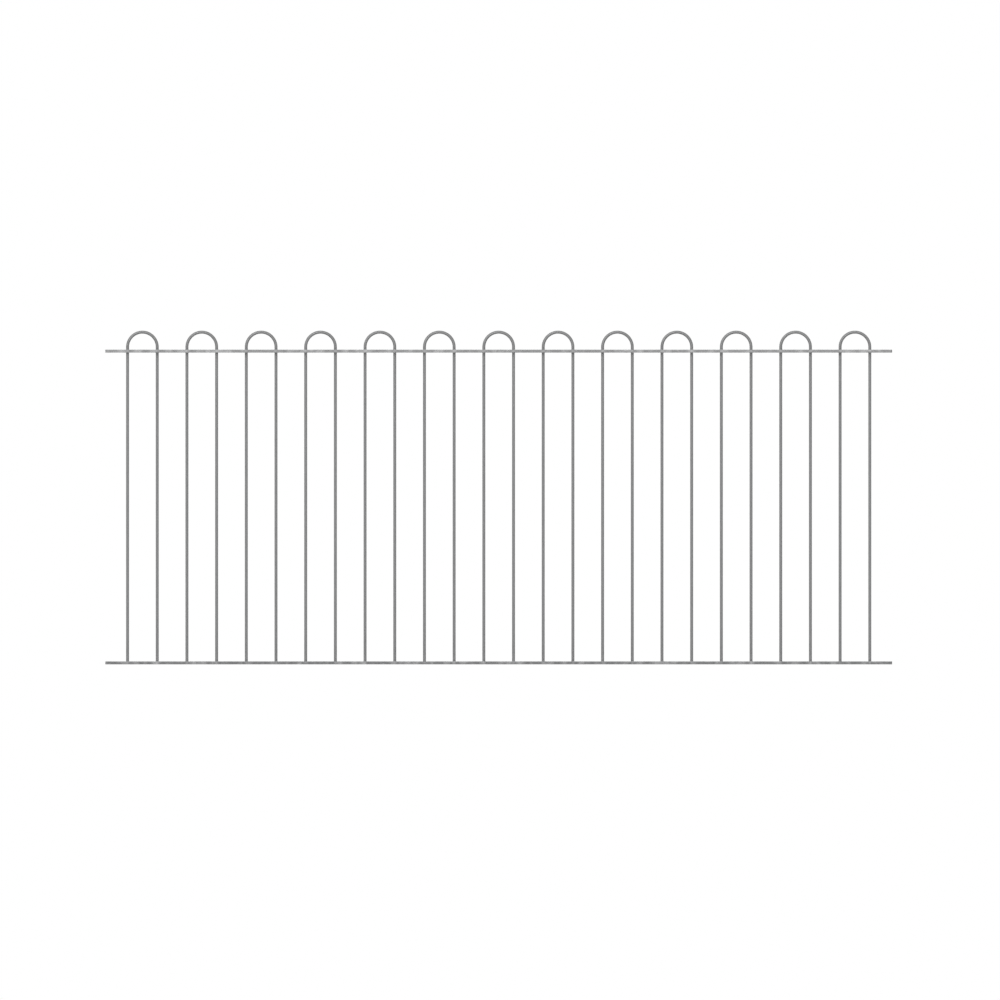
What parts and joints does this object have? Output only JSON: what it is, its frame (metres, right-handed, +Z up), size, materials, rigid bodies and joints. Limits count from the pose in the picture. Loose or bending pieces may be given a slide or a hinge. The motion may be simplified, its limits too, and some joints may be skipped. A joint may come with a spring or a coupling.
{
  "type": "bow top fence panel",
  "caption": "Galvanised steel fence panel: round bar hairpin bows standing through two flat bar rails that lie flat, with a fixing slot at each rail end.",
  "frame": {"origin": "middle of the bottom rail's underside, the flat face that rests on the posts' cleats", "axes": "+X along the panel, +Y from the front to the back, +Z up"},
  "size_m": [2.65, 0.04, 1.1239],
  "materials": {
    "galvanised_flat_bar": "matte",
    "galvanised_round_bar": "matte",
    "galvanised_weld": "matte"
  },
  "bodies": {
    "root": {"bottom_rail": "galvanised_flat_bar", "top_rail": "galvanised_flat_bar", "bow_01": "galvanised_round_bar", "bow_02": "galvanised_round_bar", "bow_03": "galvanised_round_bar", "bow_04": "galvanised_round_bar", "bow_05": "galvanised_round_bar", "bow_06": "galvanised_round_bar", "bow_07": "galvanised_round_bar", "bow_08": "galvanised_round_bar", "bow_09": "galvanised_round_bar", "bow_10": "galvanised_round_bar", "bow_11": "galvanised_round_bar", "bow_12": "galvanised_round_bar", "bow_13": "galvanised_round_bar", "top_rail_welds": "galvanised_weld", "bottom_rail_welds": "galvanised_weld"}
  },
  "joints": []
}
